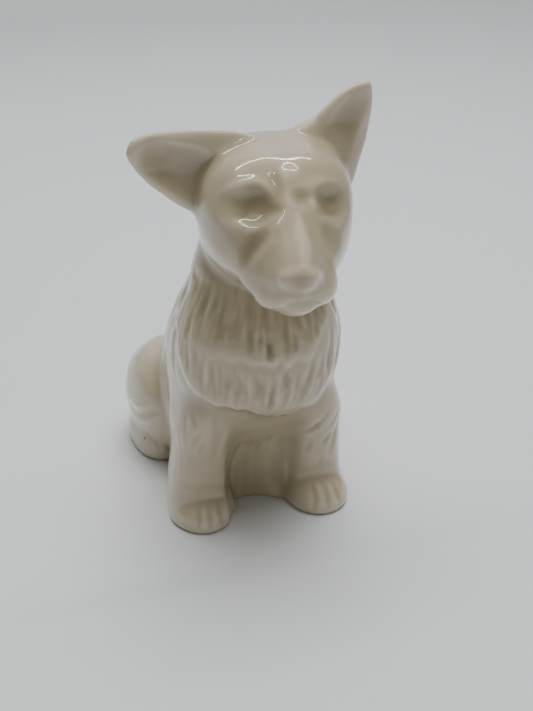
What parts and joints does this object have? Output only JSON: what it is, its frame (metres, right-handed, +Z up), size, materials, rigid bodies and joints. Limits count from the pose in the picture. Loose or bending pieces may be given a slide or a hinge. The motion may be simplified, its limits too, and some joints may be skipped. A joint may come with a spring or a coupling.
{
  "type": "dog figurine",
  "caption": "Seated dog ornament in glossy ivory-glazed earthenware, head turned, one ear raised and one held out, hollow with an open base.",
  "frame": {"origin": "on the table, under the middle of the figure's bounding box", "axes": "+Z up; the dog looks along -Y, with its right side at -X"},
  "size_m": [0.0624, 0.098, 0.1145],
  "materials": {
    "glaze": "gloss"
  },
  "bodies": {
    "root": {"body_casting": "glaze", "head_casting": "glaze", "right_ear": "glaze", "left_ear": "glaze", "right_foreleg": "glaze", "left_foreleg": "glaze", "right_haunch": "glaze", "left_haunch": "glaze", "right_hind_foot": "glaze", "left_hind_foot": "glaze", "tail": "glaze"}
  },
  "joints": []
}
